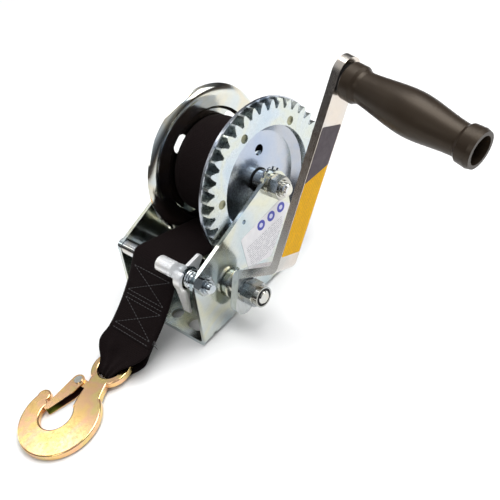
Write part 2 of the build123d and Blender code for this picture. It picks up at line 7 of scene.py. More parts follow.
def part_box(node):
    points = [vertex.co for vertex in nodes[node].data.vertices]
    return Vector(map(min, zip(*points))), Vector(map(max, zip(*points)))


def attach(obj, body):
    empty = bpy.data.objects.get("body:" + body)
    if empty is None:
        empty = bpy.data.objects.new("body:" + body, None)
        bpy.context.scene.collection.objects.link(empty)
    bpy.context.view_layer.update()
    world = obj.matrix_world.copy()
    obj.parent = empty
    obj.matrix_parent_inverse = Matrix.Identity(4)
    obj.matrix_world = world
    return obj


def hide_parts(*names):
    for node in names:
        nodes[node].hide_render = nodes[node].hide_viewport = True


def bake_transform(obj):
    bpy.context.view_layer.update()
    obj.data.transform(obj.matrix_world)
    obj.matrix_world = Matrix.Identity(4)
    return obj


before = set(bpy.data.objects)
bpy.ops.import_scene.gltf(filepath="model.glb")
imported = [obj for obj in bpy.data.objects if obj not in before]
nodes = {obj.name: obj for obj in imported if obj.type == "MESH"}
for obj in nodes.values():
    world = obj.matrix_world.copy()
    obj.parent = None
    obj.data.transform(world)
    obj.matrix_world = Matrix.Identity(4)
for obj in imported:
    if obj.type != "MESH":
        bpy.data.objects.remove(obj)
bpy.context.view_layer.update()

# ---- The CAD's own measures that the soft pieces need, in metres -----------------------------
TIE_AXIS = (-0.040, 0.0545)
DRUM_AXIS = (0.049, 0.0785)
COIL_LOW, COIL_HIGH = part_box("strap_coil")
LEAD_LOW, LEAD_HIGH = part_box("strap_lead")
BARREL_LOW, BARREL_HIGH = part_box("drum_barrel")
STRAP_WIDTH = LEAD_HIGH.x - LEAD_LOW.x
STRAP_X = (LEAD_HIGH.x + LEAD_LOW.x) / 2
SLEEVE_RADIUS = 0.006
EYE_BAR = (-0.0015, -0.098, 0.00655)
LATCH_RIVET = (-0.0135, -0.1328)
LATCH_INNER_HALF = 0.0030
GRIP_ROOT = Vector((0.119405, 0.059986, 0.180139))
GRIP_AXIS = Vector((0.976672, -0.094134, -0.193003))


# ---- Node helpers ----------------------------------------------------------------------------
def new_material(name):
    """An empty material with its Principled shader: (material, links, shader)."""
    material = bpy.data.materials.new(name)
    material.use_nodes = True
    tree = material.node_tree
    return material, tree.links, tree.nodes["Principled BSDF"]


def coordinates(tree, scale=(1, 1, 1), kind="Object"):
    """Object (or UV) coordinates in metres, scaled."""
    source = tree.nodes.new("ShaderNodeTexCoord")
    mapping = tree.nodes.new("ShaderNodeMapping")
    mapping.inputs["Scale"].default_value = scale
    tree.links.new(source.outputs[kind], mapping.inputs["Vector"])
    return mapping.outputs["Vector"]


def noise(tree, vector, scale, detail=4.0, roughness=0.55, distortion=0.0):
    """A noise texture's grey output."""
    node = tree.nodes.new("ShaderNodeTexNoise")
    node.inputs["Scale"].default_value = scale
    node.inputs["Detail"].default_value = detail
    node.inputs["Roughness"].default_value = roughness
    node.inputs["Distortion"].default_value = distortion
    tree.links.new(vector, node.inputs["Vector"])
    return node.outputs["Fac"]


def ramp(tree, value, stops, interpolation="LINEAR"):
    """A colour ramp through (position, colour) stops."""
    node = tree.nodes.new("ShaderNodeValToRGB")
    node.color_ramp.interpolation = interpolation
    elements = node.color_ramp.elements
    while len(elements) < len(stops):
        elements.new(0.5)
    for element, (position, colour) in zip(elements, stops):
        element.position = position
        element.color = (*colour, 1.0)
    tree.links.new(value, node.inputs["Fac"])
    return node.outputs["Color"]


def spread(tree, value, low, high, new_low, new_high):
    """Maps one range of numbers to another."""
    node = tree.nodes.new("ShaderNodeMapRange")
    for name, number in (("From Min", low), ("From Max", high), ("To Min", new_low), ("To Max", new_high)):
        node.inputs[name].default_value = number
    tree.links.new(value, node.inputs["Value"])
    return node.outputs["Result"]


def math(tree, operation, first, second=None):
    """A math node on sockets or plain numbers."""
    node = tree.nodes.new("ShaderNodeMath")
    node.operation = operation
    for socket, value in zip(node.inputs, (first, second)):
        if value is None:
            continue
        if isinstance(value, (int, float)):
            socket.default_value = value
        else:
            tree.links.new(value, socket)
    return node.outputs["Value"]


def mix(tree, factor, first, second, blend_type="MIX"):
    """A colour mix; factor, first and second are sockets or plain values."""
    node = tree.nodes.new("ShaderNodeMix")
    node.data_type = "RGBA"
    node.blend_type = blend_type
    for socket, value in ((node.inputs[0], factor), (node.inputs[6], first), (node.inputs[7], second)):
        if isinstance(value, (int, float)):
            socket.default_value = value
        elif isinstance(value, tuple):
            socket.default_value = (*value, 1.0)
        else:
            tree.links.new(value, socket)
    return node.outputs[2]


def bump(tree, shader, height, distance, strength=1.0):
    """Adds a bump to the shader's normal."""
    node = tree.nodes.new("ShaderNodeBump")
    node.inputs["Distance"].default_value = distance
    node.inputs["Strength"].default_value = strength
    tree.links.new(height, node.inputs["Height"])
    tree.links.new(node.outputs["Normal"], shader.inputs["Normal"])


# ---- Materials -------------------------------------------------------------------------------
def zinc(name, tints, rough_low, rough_high, scratch=0.35):
    """Bright zinc plating: cloudy tints, hairline scratches and uneven gloss."""
    material, links, shader = new_material(name)
    tree = material.node_tree
    place = coordinates(tree)
    clouds = noise(tree, place, 24.0, 3.0, 0.5, 0.8)
    plain, warm, cool = tints
    colour = ramp(tree, clouds, [(0.34, cool), (0.46, plain), (0.56, warm), (0.68, plain)])
    stretched = coordinates(tree, (1.0, 0.12, 1.0))
    hairs = noise(tree, stretched, 2400.0, 2.0, 0.6)
    darker = spread(tree, hairs, 0.35, 0.6, 0.9, 1.0)
    shade = tree.nodes.new("ShaderNodeHueSaturation")
    links.new(colour, shade.inputs["Color"])
    links.new(darker, shade.inputs["Value"])
    links.new(shade.outputs["Color"], shader.inputs["Base Color"])
    blotches = noise(tree, place, 140.0, 5.0, 0.6)
    links.new(spread(tree, blotches, 0.3, 0.7, rough_low, rough_high), shader.inputs["Roughness"])
    shader.inputs["Metallic"].default_value = 1.0
    bump(tree, shader, math(tree, "ADD", hairs, blotches), 0.00001, scratch)
    return material


def paint_foot_reflection(material):
    """Makes the crank's foot, round its shaft, duller than its arm, and paints on it a cooler, streaked
    grey as painted reflection.
    """
    tree = material.node_tree
    shader = tree.nodes["Principled BSDF"]
    place = tree.nodes.new("ShaderNodeSeparateXYZ")
    tree.links.new(coordinates(tree), place.inputs["Vector"])
    foot = spread(tree, place.outputs["X"], 0.054, 0.064, 1.0, 0.0)
    # Painted reflection: a cooler, streaked grey on the foot stands in for what its faces mirror, to set
    # it apart from the plate.
    foot_reflection_streaks = noise(tree, coordinates(tree, (1.0, 1.0, 0.2)), 260.0, 3.0)
    stops = [(0.35, (0.48, 0.53, 0.54)), (0.5, (0.62, 0.66, 0.66)), (0.65, (0.54, 0.58, 0.57))]
    grey = ramp(tree, foot_reflection_streaks, stops)
    old = shader.inputs["Base Color"].links[0].from_socket
    tree.links.new(mix(tree, foot, old, grey), shader.inputs["Base Color"])
    tree.links.new(spread(tree, foot, 0.0, 1.0, 1.0, 0.55), shader.inputs["Metallic"])


def shade_tooth_gaps(material):
    """Paints shade on the floors between the ring gear's teeth, on the disc that backs them: the deep gaps
    get a dark, mottled painted shade.
    """
    tree = material.node_tree
    shader = tree.nodes["Principled BSDF"]
    place = tree.nodes.new("ShaderNodeSeparateXYZ")
    tree.links.new(coordinates(tree), place.inputs["Vector"])
    dy = math(tree, "SUBTRACT", place.outputs["Y"], DRUM_AXIS[0])
    dz = math(tree, "SUBTRACT", place.outputs["Z"], DRUM_AXIS[1])
    square = math(tree, "ADD", math(tree, "MULTIPLY", dy, dy), math(tree, "MULTIPLY", dz, dz))
    radius = math(tree, "SQRT", square)
    tooth_root, tooth_tip, disc_front = 0.0548, 0.0629, 0.0311
    outside = math(tree, "GREATER_THAN", radius, tooth_root)
    inside = math(tree, "LESS_THAN", radius, tooth_tip)
    front = math(tree, "GREATER_THAN", place.outputs["X"], disc_front)
    gap = math(tree, "MULTIPLY", math(tree, "MULTIPLY", outside, inside), front)
    old = shader.inputs["Base Color"].links[0].from_socket
    # Painted shade: a dark mottled grey in the tooth gaps, where shade falls between the teeth.
    gap_shade_mottle = noise(tree, coordinates(tree), 500.0, 3.0)
    painted_gap_shade = ramp(tree, gap_shade_mottle, [(0.3, (0.035, 0.040, 0.045)), (0.7, (0.16, 0.18, 0.19))])
    tree.links.new(mix(tree, gap, old, painted_gap_shade), shader.inputs["Base Color"])


def yellow_zinc():
    """Yellow passivated zinc, with its rainbow of gold, pink and green."""
    material, links, shader = new_material("yellow_zinc_look")
    tree = material.node_tree
    place = coordinates(tree)
    bands = noise(tree, place, 30.0, 3.0, 0.55, 0.6)
    colour = ramp(
        tree,
        bands,
        [
            (0.28, (0.82, 0.48, 0.19)),
            (0.42, (0.88, 0.60, 0.24)),
            (0.52, (0.88, 0.54, 0.32)),
            (0.62, (0.80, 0.64, 0.26)),
            (0.74, (0.86, 0.56, 0.24)),
        ],
    )
    fine = noise(tree, place, 420.0, 4.0, 0.6)
    worn = mix(tree, spread(tree, fine, 0.4, 0.65, 0.0, 0.22), colour, (0.55, 0.32, 0.10))
    links.new(worn, shader.inputs["Base Color"])
    links.new(spread(tree, fine, 0.3, 0.7, 0.14, 0.24), shader.inputs["Roughness"])
    shader.inputs["Metallic"].default_value = 1.0
    bump(tree, shader, fine, 0.00002, 0.25)
    return material


def grip_plastic():
    """Moulded black plastic, satin with a fine grain."""
    material, links, shader = new_material("grip_plastic_look")
    tree = material.node_tree
    place = coordinates(tree)
    clouds = noise(tree, place, 30.0, 3.0)
    brown = ramp(tree, clouds, [(0.3, (0.017, 0.011, 0.007)), (0.7, (0.028, 0.019, 0.012))])
    links.new(brown, shader.inputs["Base Color"])
    grain = noise(tree, place, 2600.0, 2.0)
    links.new(spread(tree, clouds, 0.3, 0.7, 0.34, 0.44), shader.inputs["Roughness"])
    shader.inputs["Specular IOR Level"].default_value = 0.34
    shader.inputs["Specular Tint"].default_value = (1.0, 0.86, 0.70, 1.0)
    bump(tree, shader, grain, 0.00003, 0.35)
    return material


def black_plastic():
    """Small black nylon pieces."""
    material, links, shader = new_material("black_nylon_look")
    tree = material.node_tree
    grain = noise(tree, coordinates(tree), 900.0, 3.0)
    black = ramp(tree, grain, [(0.3, (0.004, 0.004, 0.0045)), (0.7, (0.010, 0.010, 0.0105))])
    links.new(black, shader.inputs["Base Color"])
    shader.inputs["Roughness"].default_value = 0.5
    shader.inputs["Specular IOR Level"].default_value = 0.15
    bump(tree, shader, grain, 0.00003, 0.3)
    return material


def webbing():
    """Black polyester webbing: a close twill of ribs, from UVs in metres along and across."""
    material, links, shader = new_material("webbing_look")
    tree = material.node_tree
    place = coordinates(tree, kind="UV")
    split = tree.nodes.new("ShaderNodeSeparateXYZ")
    links.new(place, split.inputs["Vector"])
    across = split.outputs["X"]
    along = split.outputs["Y"]
    rib_pitch = 0.0021
    row_pitch = 0.0013
    rib = math(tree, "SINE", math(tree, "MULTIPLY", across, 2 * pi / rib_pitch))
    row = math(tree, "MULTIPLY", along, 2 * pi / row_pitch)
    shifted = math(tree, "ADD", row, math(tree, "MULTIPLY", rib, 1.4))
    weave = math(tree, "MULTIPLY", math(tree, "SINE", shifted), 0.5)
    height = math(tree, "ADD", math(tree, "ABSOLUTE", rib), weave)
    fuzz = noise(tree, coordinates(tree), 900.0, 4.0)
    tone = math(tree, "ADD", spread(tree, height, -0.5, 1.5, 0.0, 0.7), math(tree, "MULTIPLY", fuzz, 0.3))
    black = ramp(tree, tone, [(0.1, (0.0004, 0.0003, 0.0003)), (0.9, (0.0105, 0.0062, 0.0066))])
    links.new(black, shader.inputs["Base Color"])
    shader.inputs["Roughness"].default_value = 0.7
    shader.inputs["Specular IOR Level"].default_value = 0.04
    shader.inputs["Sheen Weight"].default_value = 0.02
    shader.inputs["Sheen Tint"].default_value = (1.0, 0.78, 0.76, 1.0)
    shader.inputs["Sheen Roughness"].default_value = 0.5
    bump(tree, shader, height, 0.0003, 0.8)
    return material


def thread():
    """Grey sewing thread."""
    material, links, shader = new_material("thread_look")
    tree = material.node_tree
    twist = noise(tree, coordinates(tree), 3000.0, 2.0)
    grey = ramp(tree, twist, [(0.3, (0.035, 0.034, 0.036)), (0.7, (0.09, 0.088, 0.09))])
    links.new(grey, shader.inputs["Base Color"])
    links.new(spread(tree, twist, 0.3, 0.7, 0.5, 0.7), shader.inputs["Roughness"])
    bump(tree, shader, twist, 0.00002, 0.5)
    return material


def rect_mask(tree, u, v, low, high):
    """1 inside a rectangle of two coordinates, 0 outside."""
    inside = math(tree, "GREATER_THAN", u, low[0])
    limits = ((u, high[0], "LESS_THAN"), (v, low[1], "GREATER_THAN"), (v, high[1], "LESS_THAN"))
    for value, limit, side in limits:
        inside = math(tree, "MULTIPLY", inside, math(tree, side, value, limit))
    return inside


def disc_mask(tree, u, v, centre, radius):
    """1 inside a circle of two coordinates, 0 outside."""
    dy = math(tree, "SUBTRACT", u, centre[0])
    dz = math(tree, "SUBTRACT", v, centre[1])
    square = math(tree, "ADD", math(tree, "MULTIPLY", dy, dy), math(tree, "MULTIPLY", dz, dz))
    return math(tree, "LESS_THAN", square, radius * radius)


def plate_sticker():
    """White vinyl with three plain blue discs and rows of plain grey lines."""
    material, links, shader = new_material("plate_sticker_look")
    tree = material.node_tree
    split = tree.nodes.new("ShaderNodeSeparateXYZ")
    links.new(coordinates(tree), split.inputs["Vector"])
    y = split.outputs["Y"]
    z = split.outputs["Z"]
    grain = noise(tree, coordinates(tree), 160.0, 3.0)
    colour = ramp(tree, grain, [(0.3, (0.74, 0.73, 0.76)), (0.7, (0.82, 0.81, 0.83))])
    discs_z = 0.0563
    disc_radius = 0.0042
    heart_radius = 0.0019
    row_pitch = 0.0017
    for centre_y in (0.027, 0.0385, 0.050):
        disc = disc_mask(tree, y, z, (centre_y, discs_z), disc_radius)
        colour = mix(tree, disc, colour, (0.05, 0.06, 0.42))
        heart = disc_mask(tree, y, z, (centre_y, discs_z), heart_radius)
        colour = mix(tree, heart, colour, (0.62, 0.64, 0.80))
    lines = math(tree, "SINE", math(tree, "MULTIPLY", z, 2 * pi / row_pitch))
    breaks = noise(tree, coordinates(tree, (1.0, 1.0, 0.4)), 900.0, 1.0)
    row = math(tree, "GREATER_THAN", lines, 0.35)
    printed = math(tree, "MULTIPLY", row, math(tree, "GREATER_THAN", breaks, 0.44))
    band = rect_mask(tree, y, z, (0.0075, 0.028), (0.0485, 0.0495))
    text = math(tree, "MULTIPLY", math(tree, "MULTIPLY", printed, band), 0.6)
    colour = mix(tree, text, colour, (0.16, 0.16, 0.20))
    links.new(colour, shader.inputs["Base Color"])
    links.new(spread(tree, grain, 0.3, 0.7, 0.36, 0.46), shader.inputs["Roughness"])
    bump(tree, shader, grain, 0.00002, 0.3)
    return material


def arm_sticker():
    """Vinyl in a dark band and a yellow band that meet on a slant, with plain fine lines."""
    material, links, shader = new_material("arm_sticker_look")
    tree = material.node_tree
    source = tree.nodes.new("ShaderNodeTexCoord")
    u_axis, v_axis = arm_axes()
    origin = GRIP_ROOT
    along = tree.nodes.new("ShaderNodeVectorMath")
    along.operation = "DOT_PRODUCT"
    along.inputs[1].default_value = u_axis
    across = tree.nodes.new("ShaderNodeVectorMath")
    across.operation = "DOT_PRODUCT"
    across.inputs[1].default_value = v_axis
    for node in (along, across):
        links.new(source.outputs["Object"], node.inputs[0])
    u = math(tree, "SUBTRACT", along.outputs["Value"], origin.dot(u_axis))
    v = math(tree, "SUBTRACT", across.outputs["Value"], origin.dot(v_axis))
    bands_meet = 0.0655
    row_pitch = 0.0019
    printed_half_width = 0.0078
    slant = math(tree, "ADD", u, math(tree, "MULTIPLY", v, 0.60))
    split = math(tree, "GREATER_THAN", slant, bands_meet)
    grain = noise(tree, coordinates(tree), 200.0, 3.0)
    dark = ramp(tree, grain, [(0.3, (0.085, 0.07, 0.08)), (0.7, (0.12, 0.10, 0.112))])
    yellow = ramp(tree, grain, [(0.3, (0.82, 0.42, 0.001)), (0.7, (0.88, 0.47, 0.002))])
    rows = math(tree, "SINE", math(tree, "MULTIPLY", v, 2 * pi / row_pitch))
    breaks = noise(tree, coordinates(tree), 620.0, 1.0)
    row = math(tree, "GREATER_THAN", rows, 0.45)
    fine = math(tree, "MULTIPLY", row, math(tree, "GREATER_THAN", breaks, 0.42))
    margin = math(tree, "LESS_THAN", math(tree, "ABSOLUTE", v), printed_half_width)
    printed = math(tree, "MULTIPLY", math(tree, "MULTIPLY", fine, margin), 0.3)
    yellow = mix(tree, printed, yellow, (0.26, 0.13, 0.01))
    links.new(mix(tree, split, dark, yellow), shader.inputs["Base Color"])
    links.new(spread(tree, grain, 0.3, 0.7, 0.42, 0.52), shader.inputs["Roughness"])
    shader.inputs["Specular IOR Level"].default_value = 0.1
    bump(tree, shader, grain, 0.00002, 0.3)
    return material


def arm_axes():
    """Unit vectors down the arm and across it."""
    across = Vector((0, cos(radians(26)), -sin(radians(26))))
    down = across.cross(GRIP_AXIS)
    if down.z > 0:
        down = -down
    return down.normalized(), across


def floor_look():
    """A plain pale sweep of paper."""
    material, links, shader = new_material("floor_look")
    tree = material.node_tree
    paper = noise(tree, coordinates(tree), 6.0, 2.0)
    white = ramp(tree, paper, [(0.3, (0.90, 0.90, 0.90)), (0.7, (0.92, 0.92, 0.915))])
    links.new(white, shader.inputs["Base Color"])
    shader.inputs["Roughness"].default_value = 0.8
    return material


# ---- Mesh helpers ----------------------------------------------------------------------------
def mesh_piece(name, vertices, faces, material, body, uvs=None):
    """A new mesh object with its material, riding on a body when one is given."""
    mesh = bpy.data.meshes.new(name)
    mesh.from_pydata([tuple(v) for v in vertices], [], faces)
    mesh.update()
    if uvs is not None:
        layer = mesh.uv_layers.new(name="metres")
        for loop in mesh.loops:
            layer.data[loop.index].uv = uvs[loop.vertex_index]
    for polygon in mesh.polygons:
        polygon.use_smooth = True
    mesh.materials.append(material)
    piece = bpy.data.objects.new(name, mesh)
    bpy.context.scene.collection.objects.link(piece)
    if body:
        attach(piece, body)
    return piece


def between(p0, p1, p2, p3, t):
    """The Catmull-Rom value between p1 and p2 at a share t."""
    slope = (p2 - p0) * t
    bend = (2 * p0 - 5 * p1 + 4 * p2 - p3) * t**2
    twist = (3 * p1 - p0 - 3 * p2 + p3) * t**3
    return 0.5 * (2 * p1 + slope + bend + twist)


def smooth_path(points, steps):
    """Points on a Catmull-Rom curve through the given points."""
    padded = [tuple(2 * a - b for a, b in zip(points[0], points[1]))] + list(points)
    padded.append(tuple(2 * a - b for a, b in zip(points[-1], points[-2])))
    result = []
    for index in range(1, len(padded) - 2):
        p0, p1, p2, p3 = padded[index - 1 : index + 3]
        for step in range(steps):
            t = step / steps
            result.append(tuple(between(a, b, c, d, t) for a, b, c, d in zip(p0, p1, p2, p3)))
    result.append(tuple(points[-1]))
    return result


def ribbon(name, rows, thickness, material, body, columns=24, profile=None, start=0.0):
    """A strap from rows of (y, z, centre x, half width); profile(row share, column share) adds a rise."""
    count = len(rows)
    vertices = []
    uvs = []
    length = start
    outline = ribbon_outline(columns)
    for index, (y, z, centre, half) in enumerate(rows):
        before = rows[max(index - 1, 0)]
        after = rows[min(index + 1, count - 1)]
        dy = after[0] - before[0]
        dz = after[1] - before[1]
        size = hypot(dy, dz)
        normal = (-dz / size, dy / size)
        if index:
            length += hypot(y - before[0], z - before[1])
        for share, side, edge in outline:
            rise = side * thickness / 2 * edge
            if profile is not None:
                rise += profile(index / (count - 1), share)
            vertices.append((centre + share * half, y + normal[0] * rise, z + normal[1] * rise))
            uvs.append((share * STRAP_WIDTH / 2 + 0.1 * side, length))
    ring = len(outline)
    faces = []
    for index in range(count - 1):
        for corner in range(ring):
            a = index * ring + corner
            b = index * ring + (corner + 1) % ring
            faces.append((a, b, b + ring, a + ring))
    faces.append(tuple(range(ring))[::-1])
    faces.append(tuple((count - 1) * ring + corner for corner in range(ring)))
    return mesh_piece(name, vertices, faces, material, body, uvs)


def ribbon_outline(columns):
    """The strap's cross-section as (share of half width, side, thinness) points, thin at the selvedges."""
    top = []
    for column in range(columns + 1):
        share = -1 + 2 * column / columns
        edge = min(1.0, ((1 - abs(share)) / 0.035) ** 0.5) if abs(share) > 0.965 else 1.0
        top.append((share, 1, max(edge, 0.25)))
    bottom = [(share, -1, edge) for share, _, edge in reversed(top)]
    return top + bottom


# ---- Strap -----------------------------------------------------------------------------------
def lead_path():
    """The strap's centre line in (y, z) from under the coil to the sewn loop, and where it leaves."""
    layer = 0.0012
    over = SLEEVE_RADIUS + 0.0001 + layer
    coil_radius = (COIL_HIGH.z - COIL_LOW.z) / 2
    under = coil_radius + 0.0004 + layer
    y_gap = DRUM_AXIS[0] - TIE_AXIS[0]
    z_gap = DRUM_AXIS[1] - TIE_AXIS[1]
    span = hypot(y_gap, z_gap)
    slope = atan2(z_gap, y_gap) - asin((over + under) / span)
    leave = (DRUM_AXIS[0] + under * sin(slope), DRUM_AXIS[1] - under * cos(slope))
    top = (TIE_AXIS[0] - over * sin(slope), TIE_AXIS[1] + over * cos(slope))
    points = []
    for step in range(25):
        share = step / 24
        points.append((leave[0] + (top[0] - leave[0]) * share, leave[1] + (top[1] - leave[1]) * share))
    turn_from = slope + pi / 2
    turn_to = radians(138)
    for step in range(1, 13):
        angle = turn_from + (turn_to - turn_from) * step / 12
        points.append((TIE_AXIS[0] + over * cos(angle), TIE_AXIS[1] + over * sin(angle)))
    return points


def fall_path():
    """The strap's centre line in (y, z) from the sleeve down to the gathered end."""
    start = lead_path()[-1]
    places = [start, (-0.0555, 0.0466), (-0.0685, 0.0340), (-0.0800, 0.0251), (-0.0885, 0.0198)]
    return smooth_path(places, 12)


def strap_pieces(cloth, sewing):
    """The strap's run, its gathered end and the sewing."""
    path = lead_path() + fall_path()[1:]
    rows = [(y, z, STRAP_X, STRAP_WIDTH / 2) for y, z in path]
    lead = ribbon("strap_run", rows, 0.0023, cloth, "frame_body", profile=strap_wave)
    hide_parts("strap_lead")
    seams = sewing_piece(sewing)
    gathered_end(cloth)


def strap_wave(along, across):
    """Slight cupping and ripple of the strap."""
    return 0.00018 * sin(9 * along + 2 * across) * across


def gathered_end(cloth):
    """The strap's doubled end, drawn together like a pouch into the eye of the hook."""
    middle = EYE_BAR[0]
    full = STRAP_WIDTH / 2
    route = [
        (-0.0880, 0.0201, STRAP_X, full, 0.0),
        (-0.0915, 0.0190, STRAP_X * 0.9, full, 0.0006),
        (-0.0960, 0.0180, STRAP_X * 0.5, 0.0240, 0.0016),
        (-0.1005, 0.0166, middle * 0.3, 0.0222, 0.0026),
        (-0.1050, 0.0142, middle * 0.8, 0.0182, 0.0028),
        (-0.1095, 0.0113, middle, 0.0124, 0.0018),
        (-0.1140, 0.0088, middle, 0.0090, 0.0010),
        (-0.1180, 0.0058, middle, 0.0062, 0.0003),
        (-0.1165, 0.0026, middle, 0.0072, 0.0),
        (-0.1110, 0.0016, middle, 0.0105, 0.0),
        (-0.1055, 0.0015, middle, 0.0128, 0.0),
        (-0.0990, 0.0016, middle, 0.0158, 0.0),
        (-0.0940, 0.0026, middle, 0.0176, 0.0),
        (-0.0905, 0.0062, middle, 0.0188, 0.0),
        (-0.0885, 0.0110, middle * 0.8, 0.0205, 0.0),
        (-0.0868, 0.0168, 0.0, 0.0226, 0.0),
    ]
    rows = smooth_path(route, 8)

    def pouch(along, across):
        _, _, _, half, crown = rows[int(round(along * (len(rows) - 1)))]
        gather = max(0.0, 1 - half / full)
        puff = crown * (1 - across**2) * (1.0 + 0.35 * cos(2.2 * across + 0.8))
        dent = 0.0014 * exp(-(((along - 0.2) / 0.07) ** 2 + ((across + 0.42) / 0.22) ** 2))
        folds = gather * 0.0008 * cos(across * 3.1 * pi + 0.6) * (1 - 0.4 * across**2)
        return puff - dent + folds

    strip = [row[:4] for row in rows]
    name = "strap_gathered_end"
    pouch_piece = ribbon(name, strip, 0.0017, cloth, "", columns=56, profile=pouch)
    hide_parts("strap_loop")
    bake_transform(pouch_piece)


def sewing_piece(material):
    """The rows of stitches and crossed boxes that hold the strap's doubled end, and loose thread ends."""
    path = fall_path()
    lengths = [0.0]
    for a, b in zip(path, path[1:]):
        lengths.append(lengths[-1] + hypot(b[0] - a[0], b[1] - a[1]))

    def on_strap(across, along):
        """A point just above the strap's upper side."""
        index = 0
        while index < len(path) - 2 and lengths[index + 1] < along:
            index += 1
        share = (along - lengths[index]) / (lengths[index + 1] - lengths[index])
        dy = path[index + 1][0] - path[index][0]
        dz = path[index + 1][1] - path[index][1]
        size = hypot(dy, dz)
        y = path[index][0] + share * dy - dz / size * -0.00125
        z = path[index][1] + share * dz + dy / size * -0.00125
        return Vector((STRAP_X + across, y, z))

    edge = STRAP_WIDTH / 2 - 0.0045
    first, last = 0.0075, lengths[-1] - 0.0015
    rows = [first, first + 0.0195, first + 0.0225, first + 0.0255, last - 0.0035, last]
    runs = [((-edge, row), (edge, row)) for row in rows]
    for top, bottom in ((rows[0], rows[1]), (rows[3], rows[4])):
        runs.append(((-edge, top), (edge, bottom)))
        runs.append(((edge, top), (-edge, bottom)))
    vertices = []
    faces = []
    for (x0, s0), (x1, s1) in runs:
        count = int(hypot(x1 - x0, s1 - s0) / 0.0029)
        for number in range(count):
            low = (number + 0.14) / count
            high = (number + 0.86) / count
            a = on_strap(x0 + (x1 - x0) * low, s0 + (s1 - s0) * low)
            b = on_strap(x0 + (x1 - x0) * high, s0 + (s1 - s0) * high)
            add_strand(vertices, faces, [a, a.lerp(b, 0.5) + Vector((0, 0, 0.0001)), b], 0.00028)
    for reach, drop in ((0.0040, 0.0012), (0.0052, 0.0026), (0.0030, 0.0004)):
        root = on_strap(STRAP_WIDTH / 2 - 0.0012, last - 0.006 + drop)
        tip = root + Vector((reach, -0.0006, -drop))
        add_strand(vertices, faces, [root, root.lerp(tip, 0.5) + Vector((0, 0, 0.0006)), tip], 0.00030)
    return mesh_piece("strap_sewing", vertices, faces, material, "frame_body")


def add_strand(vertices, faces, places, radius):
    """Adds a thin round strand through some points, thinner at both ends."""
    first = len(vertices)
    along = (places[-1] - places[0]).normalized()
    side = along.cross(Vector((0, 0.6, 0.8))).normalized()
    lift = side.cross(along).normalized()
    for index, place in enumerate(places):
        size = radius if 0 < index < len(places) - 1 else radius * 0.45
        for corner in range(6):
            angle = corner * pi / 3
            vertices.append(place + (side * cos(angle) + lift * sin(angle)) * size)
    for section in range(len(places) - 1):
        for corner in range(6):
            low = first + section * 6 + corner
            high = first + section * 6 + (corner + 1) % 6
            faces.append((low, high, high + 6, low + 6))
    faces.append(tuple(first + corner for corner in range(6))[::-1])
    faces.append(tuple(first + 6 * (len(places) - 1) + corner for corner in range(6)))


def coil_piece(cloth):
    """The wound strap: one long spiral, layer on layer."""
    inner = (BARREL_HIGH.z - BARREL_LOW.z) / 2
    outer = (COIL_HIGH.z - COIL_LOW.z) / 2
    centre = (COIL_LOW.x + COIL_HIGH.x) / 2
    turns = 10
    layer = (outer - inner) / turns
    start = -pi / 2 - 0.29
    steps = 72
    rows = []
    for step in range(turns * steps + 1):
        angle = start - 2 * pi * (turns - step / steps)
        radius = inner + layer / 2 + (layer * (turns - 1) * step) / (turns * steps)
        wander = 0.0005 * sin(step * 0.041) + 0.0003 * sin(step * 0.173)
        y = DRUM_AXIS[0] + radius * cos(angle)
        z = DRUM_AXIS[1] + radius * sin(angle)
        rows.append((y, z, centre + wander, 0.0240))
    coil = ribbon("strap_wound", rows, layer * 0.86, cloth, "drum", columns=8)
    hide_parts("strap_coil")


# ---- CAD nodes' looks ------------------------------------------------------------------------
def dress(name, material, width):
    """Gives a CAD node its material, smooth shading and a small rounding of its sharp edges."""
    node = nodes[name]
    node.data.materials.clear()
    node.data.materials.append(material)
    for polygon in node.data.polygons:
        polygon.use_smooth = True
    node.data.set_sharp_from_angle(angle=radians(30))
    if width:
        rounding = node.modifiers.new("edge_rounding", "BEVEL")
        rounding.width = width
        rounding.segments = 2
        rounding.limit_method = "ANGLE"
        rounding.angle_limit = radians(35)
        rounding.harden_normals = True
        rounding.use_clamp_overlap = True


